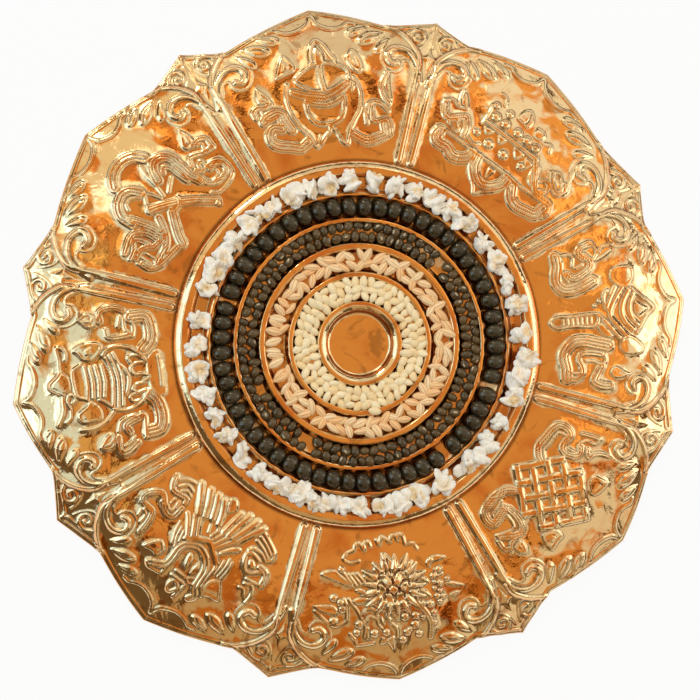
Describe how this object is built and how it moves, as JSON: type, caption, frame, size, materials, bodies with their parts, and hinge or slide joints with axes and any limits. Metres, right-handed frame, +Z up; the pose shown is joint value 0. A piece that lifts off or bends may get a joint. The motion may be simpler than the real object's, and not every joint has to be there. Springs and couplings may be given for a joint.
{
  "type": "mandala offering plate",
  "caption": "Round lotus plate of beaten brass on its petal tips, with a raised ringed disc, a central well and dry offerings laid in the rings.",
  "frame": {"origin": "on the table plane, under the middle of the well", "axes": "+Z up out of the well; +X to the picture's right and +Y to its top"},
  "size_m": [0.3012, 0.3022, 0.0229],
  "materials": {
    "brass": "polished beaten brass sheet with brown patina in the chased lines",
    "popcorn": "matt white popped corn with cream cores",
    "black_bean": "smooth black bean skin with a soft gloss",
    "small_bean": "smooth dark bean skin with a pale eye",
    "barley": "matt tan grain with a crease",
    "rice": "translucent cream short grain"
  },
  "bodies": {
    "root": {"barley_row": "barley", "black_bean_row_arc_1": "black_bean", "black_bean_row_arc_2": "black_bean", "black_bean_row_arc_3": "black_bean", "lotus_skirt": "brass", "mandala_disc": "brass", "popcorn_01": "popcorn", "popcorn_02": "popcorn", "popcorn_03": "popcorn", "popcorn_04": "popcorn", "popcorn_05": "popcorn", "popcorn_06": "popcorn", "popcorn_07": "popcorn", "popcorn_08": "popcorn", "popcorn_09": "popcorn", "popcorn_10": "popcorn", "popcorn_11": "popcorn", "popcorn_12": "popcorn", "popcorn_13": "popcorn", "popcorn_14": "popcorn", "popcorn_15": "popcorn", "popcorn_16": "popcorn", "popcorn_17": "popcorn", "popcorn_18": "popcorn", "popcorn_19": "popcorn", "popcorn_20": "popcorn", "popcorn_21": "popcorn", "popcorn_22": "popcorn", "popcorn_23": "popcorn", "popcorn_24": "popcorn", "popcorn_25": "popcorn", "popcorn_26": "popcorn", "popcorn_27": "popcorn", "popcorn_28": "popcorn", "popcorn_29": "popcorn", "popcorn_30": "popcorn", "popcorn_31": "popcorn", "popcorn_32": "popcorn", "popcorn_33": "popcorn", "popcorn_34": "popcorn", "popcorn_35": "popcorn", "popcorn_36": "popcorn", "popcorn_37": "popcorn", "popcorn_38": "popcorn", "popcorn_39": "popcorn", "popcorn_40": "popcorn", "popcorn_41": "popcorn", "popcorn_42": "popcorn", "popcorn_43": "popcorn", "popcorn_44": "popcorn", "popcorn_45": "popcorn", "popcorn_46": "popcorn", "popcorn_47": "popcorn", "rice_row_1": "rice", "rice_row_2": "rice", "small_bean_row_1_arc_1": "small_bean", "small_bean_row_1_arc_2": "small_bean", "small_bean_row_2_arc_1": "small_bean", "small_bean_row_2_arc_2": "small_bean"}
  },
  "joints": []
}
